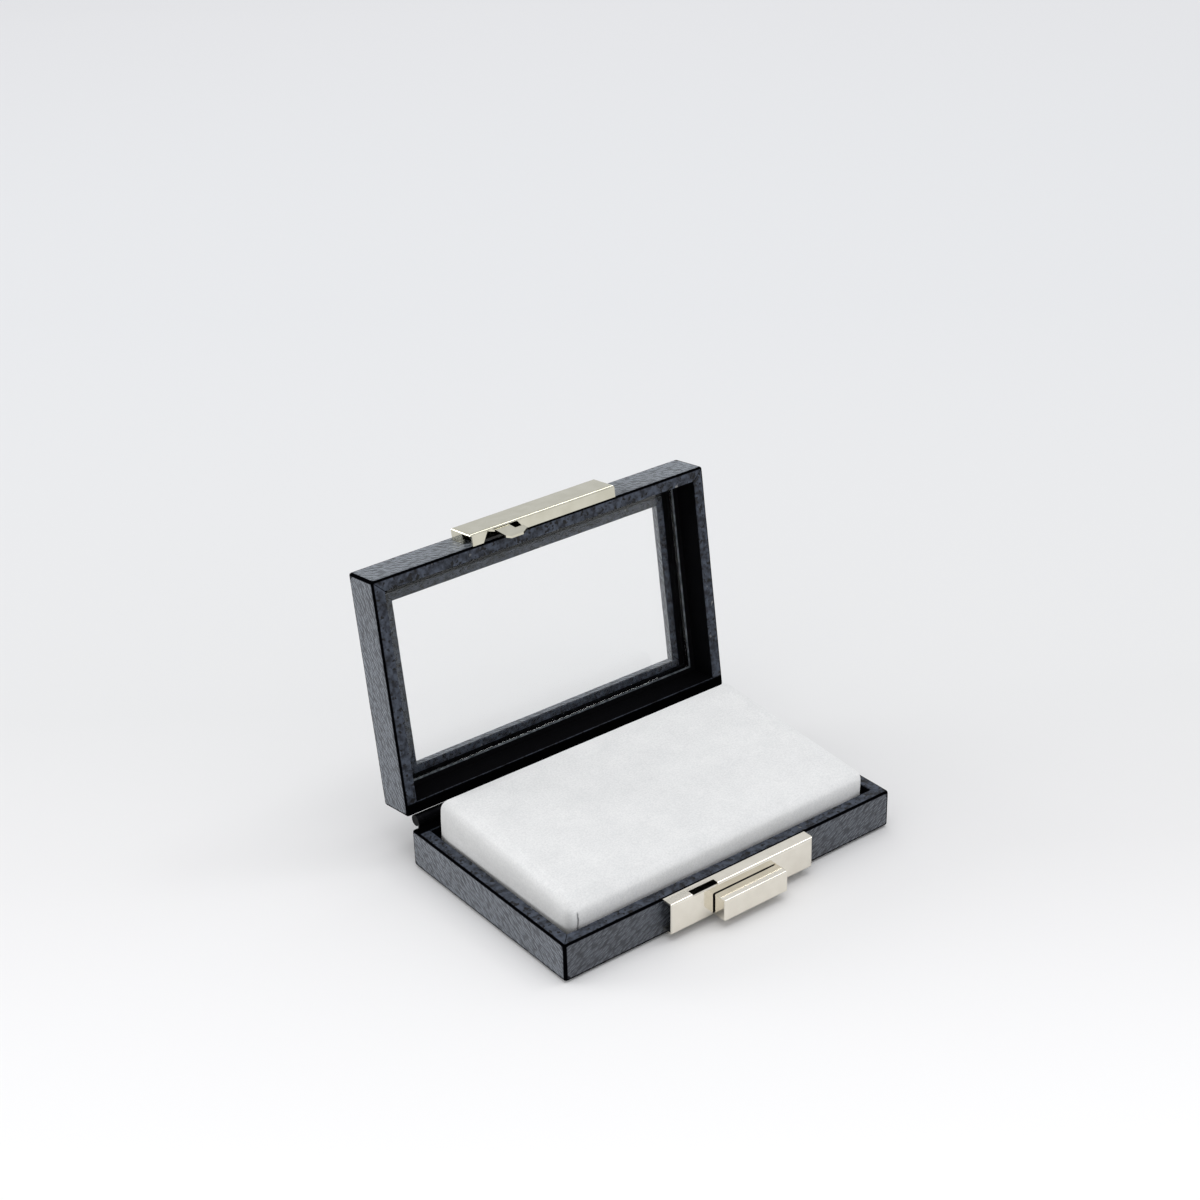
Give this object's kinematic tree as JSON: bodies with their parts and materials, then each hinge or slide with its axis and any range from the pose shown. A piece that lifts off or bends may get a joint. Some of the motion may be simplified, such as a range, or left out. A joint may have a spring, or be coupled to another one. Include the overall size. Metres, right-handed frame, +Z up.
{
  "type": "gemstone display box",
  "caption": "Small hinged presentation box with a glazed lid window, a loose soft pad and a sliding hook latch.",
  "frame": {"origin": "centre of the base's underside, on the surface the box stands on", "axes": "+X along the long side, to the right as seen from the latch; -Y towards the latch, +Y towards the hinge; +Z up"},
  "size_m": [0.09, 0.0795, 0.069],
  "materials": {
    "leatherette": "satin, embossed lizard grain",
    "grey_board": "matt",
    "black_lining": "matt flock",
    "black_card": "matt",
    "black_paper": "matt",
    "white_velour": "short soft nap",
    "foam": "open foam",
    "pad_card": "matt",
    "clear_glass": "polished",
    "nickel_plate": "bright, slightly brushed nickel",
    "plain_steel": "plain",
    "dark_metal": "blackened"
  },
  "bodies": {
    "base": {"base_bottom_sheet": "black_paper", "base_floor_board": "grey_board", "base_hinge_leaf": "dark_metal", "base_hinge_nails": "dark_metal", "base_latch_back_plate": "plain_steel", "base_latch_plate": "nickel_plate", "base_latch_rivets": "plain_steel", "base_leatherette_cover": "leatherette", "base_lining": "black_lining", "base_wall_back": "grey_board", "base_wall_front": "grey_board", "base_wall_left": "grey_board", "base_wall_right": "grey_board", "hinge_pin": "dark_metal", "pad_card": "pad_card", "pad_cover": "white_velour", "pad_foam": "foam"},
    "lid": {"glass_bead_back": "black_card", "glass_bead_front": "black_card", "glass_bead_left": "black_card", "glass_bead_right": "black_card", "lid_hinge_leaf": "dark_metal", "lid_hinge_nails": "dark_metal", "lid_latch_back_plate": "plain_steel", "lid_latch_hook": "nickel_plate", "lid_latch_plate": "nickel_plate", "lid_latch_rivets": "plain_steel", "lid_leatherette_cover": "leatherette", "lid_lining": "black_lining", "lid_top_board": "grey_board", "lid_wall_back": "grey_board", "lid_wall_front": "grey_board", "lid_wall_left": "grey_board", "lid_wall_right": "grey_board", "window_glass": "clear_glass"},
    "latch_slider": {"latch_button": "nickel_plate", "latch_bolt": "plain_steel", "latch_button_studs": "plain_steel", "latch_spring": "plain_steel"}
  },
  "joints": [
    {"name": "lid_hinge", "type": "hinge", "parent": "base", "child": "lid", "pos_m": [0, 0.0291, 0.01005], "axis": [1, 0, 0], "range_deg": [0, 97.8]},
    {"name": "latch_slide", "type": "slide", "parent": "base", "child": "latch_slider", "axis": [-1, 0, 0], "range_m": [0, 0.0022]}
  ]
}
